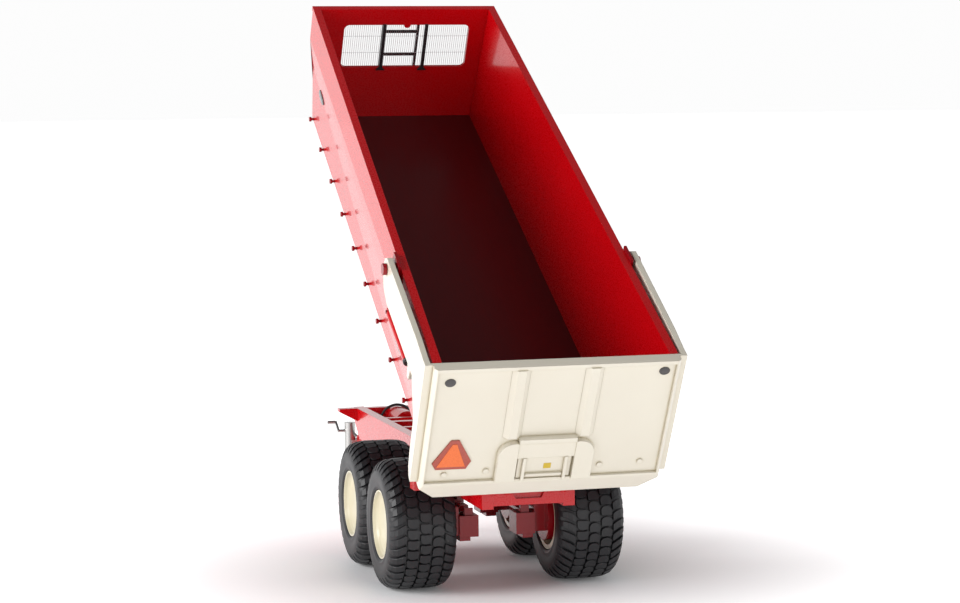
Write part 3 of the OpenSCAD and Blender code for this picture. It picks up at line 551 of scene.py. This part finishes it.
def woven_wire():
    """Tinned wire cloth: pale bright metal with a light haze."""
    made, tree = empty_material("woven_wire")
    place = add(tree, "ShaderNodeTexCoord")
    haze = add(tree, "ShaderNodeTexNoise", {"Vector": place.outputs["Object"],
                                     "Scale": 2000.0, "Detail": 2.0})
    gloss = add(tree, "ShaderNodeMapRange", {"Value": haze.outputs["Fac"], "To Min": 0.3, "To Max": 0.5})
    shade = add(tree, "ShaderNodeBsdfPrincipled", {
        "Base Color": linear("#c6c7c9"), "Metallic": 1.0, "Roughness": gloss.outputs[0]})
    add(tree, "ShaderNodeOutputMaterial", {"Surface": shade.outputs[0]})
    return made


screen_tree = bpy.data.node_groups.new("wire_screen", "GeometryNodeTree")
for name, kind in (("Uprights", "Int"), ("Cross wires", "Int"), ("Width", "Float"), ("Height", "Float"),
            ("Wire radius", "Float"), ("Wire", "Material")):
    screen_tree.interface.new_socket(name, in_out="INPUT", socket_type="NodeSocket" + kind)
screen_tree.interface.new_socket("Screen", in_out="OUTPUT", socket_type="NodeSocketGeometry")
given = add(screen_tree, "NodeGroupInput")
sets = []
for many, length, span, axis in (("Uprights", "Height", "Width", "Y"),
                          ("Cross wires", "Width", "Height", "Z")):
    gaps = add(screen_tree, "ShaderNodeMath", {0: given.outputs[many], 1: 1.0}, operation="SUBTRACT")
    gap = add(screen_tree, "ShaderNodeMath", {0: given.outputs[span], 1: gaps.outputs[0]}, operation="DIVIDE")
    first = add(screen_tree, "ShaderNodeMath", {0: given.outputs[span], 1: -0.5}, operation="MULTIPLY")
    start = add(screen_tree, "ShaderNodeCombineXYZ", {axis: first.outputs[0]})
    step = add(screen_tree, "ShaderNodeCombineXYZ", {axis: gap.outputs[0]})
    row = add(screen_tree, "GeometryNodeMeshLine", {
        "Count": given.outputs[many], "Start Location": start.outputs[0], "Offset": step.outputs[0]})
    wire = add(screen_tree, "GeometryNodeMeshCylinder", {
        "Vertices": 6, "Radius": given.outputs["Wire radius"], "Depth": given.outputs[length]})
    lay = (0, 0, 0) if axis == "Y" else (math.pi / 2, 0, 0)
    placed = add(screen_tree, "GeometryNodeInstanceOnPoints", {
        "Points": row.outputs[0], "Instance": wire.outputs[0], "Rotation": lay})
    sets.append(placed.outputs[0])
both = add(screen_tree, "GeometryNodeJoinGeometry")
for wires in sets:
    screen_tree.links.new(wires, both.inputs[0])
whole = add(screen_tree, "GeometryNodeRealizeInstances", {0: both.outputs[0]})
coated = add(screen_tree, "GeometryNodeSetMaterial", {
    "Geometry": whole.outputs[0], "Material": given.outputs["Wire"]})
add(screen_tree, "NodeGroupOutput", {0: coated.outputs[0]})

screen_blank = bpy.data.objects.new("screen_blank", bpy.data.meshes.new("screen_blank"))
bpy.context.scene.collection.objects.link(screen_blank)
screen_steps = screen_blank.modifiers.new("wire_screen", "NODES")
screen_steps.node_group = screen_tree
sockets = {item.name: item.identifier for item in screen_tree.interface.items_tree if item.in_out == "INPUT"}
for name, value in (("Uprights", 66), ("Cross wires", 4), ("Width", 51.0), ("Height", 21.0),
             ("Wire radius", 0.07), ("Wire", woven_wire())):
    screen_steps[sockets[name]] = value
bpy.context.view_layer.update()
evaluated = screen_blank.evaluated_get(bpy.context.evaluated_depsgraph_get())
mesh = bpy.data.meshes.new_from_object(evaluated)
bpy.data.objects.remove(screen_blank)
window_centre = (tub_length + 0.15, -1.5, -15.55)
mesh.transform(in_tub @ Matrix.Scale(0.001, 4) @ Matrix.Translation(window_centre))
screen = bpy.data.objects.new("wire_screen", mesh)
bpy.context.scene.collection.objects.link(screen)
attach(screen, "tub")
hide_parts("window_mesh")


# Slow-vehicle triangle at the foot of the tailgate. A red-brown reflective border with an orange
# centre, both cut from film on a thin plate.
def reflective_film(name, light, dark):
    """Retroreflective film: an even saturated colour broken into cells about 0.4 mm across."""
    made, tree = empty_material(name)
    place = add(tree, "ShaderNodeTexCoord")
    cells = add(tree, "ShaderNodeTexVoronoi", {"Vector": place.outputs["Object"], "Scale": 2500.0})
    tone = add(tree, "ShaderNodeMix", {0: cells.outputs["Distance"], 6: linear(light), 7: linear(dark)},
        data_type="RGBA")
    shade = add(tree, "ShaderNodeBsdfPrincipled", {
        "Base Color": tone.outputs[2], "Roughness": 0.3, "IOR": 1.49, "Coat Weight": 0.3,
        "Coat Roughness": 0.1})
    add(tree, "ShaderNodeOutputMaterial", {"Surface": shade.outputs[0]})
    return made


def cut_plate(outline, inner, outer, edge):
    """A plate on the tailgate: its outline in (y, height), from one depth out to another, with soft edges."""
    shape = bmesh.new()
    n = len(outline)
    middle = sum((Vector(p) for p in outline), Vector((0, 0))) / n
    rows = []
    for depth, pull in ((inner, 0), (outer + edge, 0), (outer, edge)):
        row = []
        for p in outline:
            away = Vector(p) - middle
            spot = Vector(p) - away.normalized() * pull
            row.append(shape.verts.new((depth, spot.x, spot.y)))
        rows.append(row)
    for one, two in zip(rows, rows[1:]):
        for i in range(n):
            shape.faces.new((one[i], one[(i + 1) % n], two[(i + 1) % n], two[i]))
    shape.faces.new(rows[0])
    shape.faces.new(reversed(rows[-1]))
    bmesh.ops.recalc_face_normals(shape, faces=shape.faces)
    return shape


border_line = [(23.4, -35.6), (24.8, -38.5), (34.5, -38.4), (35.8, -36), (30.6, -27.3), (28, -27.3)]
centre_line = [(25.2, -37.4), (34.3, -37.3), (30, -28.7), (28.6, -28.7)]
border = in_metres(cut_plate(border_line, -2.9, -3.4, 0.12), "triangle_border", in_tub,
            reflective_film("border_film", "#b4503f", "#9a3f33"))
centre = in_metres(cut_plate(centre_line, -3.35, -3.55, 0.05), "triangle_centre", in_tub,
            reflective_film("orange_film", "#ee7430", "#de6424"))
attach(border, "tailgate")
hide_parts("warning_triangle")
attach(centre, "tailgate")


# Plain oval badges, two on the tailgate and two on each side of the tub, and a blank yellow plate
# on the chute's door. Domed resin over a dark printed face, with a thin bright rim.
def domed_resin():
    """Clear resin over a dark face: a deep grey-brown that mirrors the light tent softly."""
    made, tree = empty_material("domed_resin")
    place = add(tree, "ShaderNodeTexCoord")
    speck = add(tree, "ShaderNodeTexNoise", {"Vector": place.outputs["Object"],
                                      "Scale": 1500.0, "Detail": 2.0})
    tone = add(tree, "ShaderNodeMix", {0: speck.outputs["Fac"], 6: linear("#1f1b1d"), 7: linear("#363033")},
        data_type="RGBA")
    shade = add(tree, "ShaderNodeBsdfPrincipled", {
        "Base Color": tone.outputs[2], "Roughness": 0.3, "IOR": 1.5, "Coat Weight": 0.8,
        "Coat Roughness": 0.03})
    add(tree, "ShaderNodeOutputMaterial", {"Surface": shade.outputs[0]})
    return made


def yellow_print():
    """Screen-printed yellow on white film, with a faint mottle from the mesh."""
    made, tree = empty_material("yellow_print")
    place = add(tree, "ShaderNodeTexCoord")
    mottle = add(tree, "ShaderNodeTexNoise", {"Vector": place.outputs["Object"],
                                       "Scale": 3000.0, "Detail": 1.0})
    tone = add(tree, "ShaderNodeMix", {0: mottle.outputs["Fac"], 6: linear("#b89a1e"), 7: linear("#d9bb3a")},
        data_type="RGBA")
    shade = add(tree, "ShaderNodeBsdfPrincipled", {"Base Color": tone.outputs[2], "Roughness": 0.4})
    add(tree, "ShaderNodeOutputMaterial", {"Surface": shade.outputs[0]})
    return made


resin = domed_resin()
dome = [(0, 0.42), (0.7, 0.4), (1.25, 0.33), (1.5, 0.22), (1.56, 0.16), (1.64, 0.24), (1.8, 0.26),
        (1.9, 0.18), (1.92, -0.1), (0, -0.1)]
facing_back = Matrix.Rotation(math.radians(-90), 4, "Y")
for side, y, t in (("left", 33.4, -5.5), ("right", -34.1, -4.2)):
    spot = Matrix.Translation((-0.003, y / 1000, t / 1000)) @ facing_back @ Matrix.Diagonal((0.76, 0.9, 1, 1))
    badge = in_metres(turned(dome, 40), "gate_badge_" + side, in_tub @ spot, resin)
    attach(badge, "tailgate")
low_line, rim_line = (32.9, 31.2), (38.75, 34.9)
fold_drop, wall_drop, fold_in = 24.5, 47, 2
for side, sign in (("left", 1), ("right", -1)):
    for place_name, s, t, long, tall in (("front", 204, -26.5, 2.3, 1.1), ("rear", 55, -31, 3.4, 1.5)):
        along = s / tub_length
        fold_y = rim_line[0] + (rim_line[1] - rim_line[0]) * along - fold_in
        low_y = low_line[0] + (low_line[1] - low_line[0]) * along
        share = (-t - fold_drop) / (wall_drop - fold_drop)
        y = fold_y + (low_y - fold_y) * share
        lean = math.atan2(fold_y - low_y, wall_drop - fold_drop)
        spot = (Matrix.Translation((s / 1000, sign * y / 1000, t / 1000))
         @ Matrix.Rotation(sign * (math.radians(-90) - lean), 4, "X")
         @ Matrix.Diagonal((long, tall, 1, 1)))
        badge = in_metres(turned(dome, 40), f"tub_badge_{place_name}_{side}", in_tub @ spot, resin)
        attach(badge, "tub")
plate_line = [(-2.3, -39.2), (0.1, -39.2), (0.1, -37.2), (-2.3, -37.2)]
plate = in_metres(cut_plate(plate_line, -3.9, -4.07, 0.03), "blank_plate", in_tub, yellow_print())
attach(plate, "chute_door")


# Gland nuts at the mouths of the tailgate cylinders. Turned brass, blackened,
# pressed over the barrel's end to hold the seal.
gland = [(1.02, 27.0), (1.32, 27.0), (1.42, 27.12), (1.42, 27.5), (1.3, 27.6), (1.3, 27.7), (1.42, 27.8),
         (1.42, 28.1), (1.3, 28.22), (0.6, 28.22), (0.6, 27.8), (1.02, 27.6), (1.02, 27.0)]
for side in ("left", "right"):
    swing = joints[f"gate_barrel_{side}_swing"]
    slide = Vector(joints[f"gate_rod_{side}_slide"]["axis"])
    mouth = Matrix.Translation(swing["pos_m"]) @ slide.to_track_quat("Z", "Y").to_matrix().to_4x4()
    nut = in_metres(turned(gland, 32), "gland_nut_" + side, mouth, black_paint)
    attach(nut, "gate_barrel_" + side)


# Rear lamps, one in each lamp bracket. A moulded lens of clear red plastic
# with a flat face, snapped into the bracket from behind.
def red_lens():
    """Moulded clear red plastic: deep and glossy, ribbed inside every 0.6 mm."""
    made, tree = empty_material("red_lens")
    place = add(tree, "ShaderNodeTexCoord")
    ribs = add(tree, "ShaderNodeTexWave", {"Vector": place.outputs["Object"], "Scale": 520.0},
        bands_direction="Y")
    tone = add(tree, "ShaderNodeMix", {0: ribs.outputs["Fac"], 6: linear("#8c0410"), 7: linear("#c8101c")},
        data_type="RGBA")
    shade = add(tree, "ShaderNodeBsdfPrincipled", {
        "Base Color": tone.outputs[2], "Roughness": 0.12, "IOR": 1.49, "Coat Weight": 0.6,
        "Coat Roughness": 0.03})
    add(tree, "ShaderNodeOutputMaterial", {"Surface": shade.outputs[0]})
    return made


lens_plastic = red_lens()
rear_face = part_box("lamp_brackets")[0].x * 1000
for side, sign in (("left", 1), ("right", -1)):
    lens_line = [(sign * y, z) for y, z in ((29.3, 38.6), (32.8, 38.6), (32.8, 42.4), (29.3, 42.4))]
    lens = in_metres(cut_plate(lens_line, rear_face + 1.6, rear_face + 0.3, 0.35), "rear_lamp_" + side,
              Matrix.Identity(4), lens_plastic)
    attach(lens, "chassis")
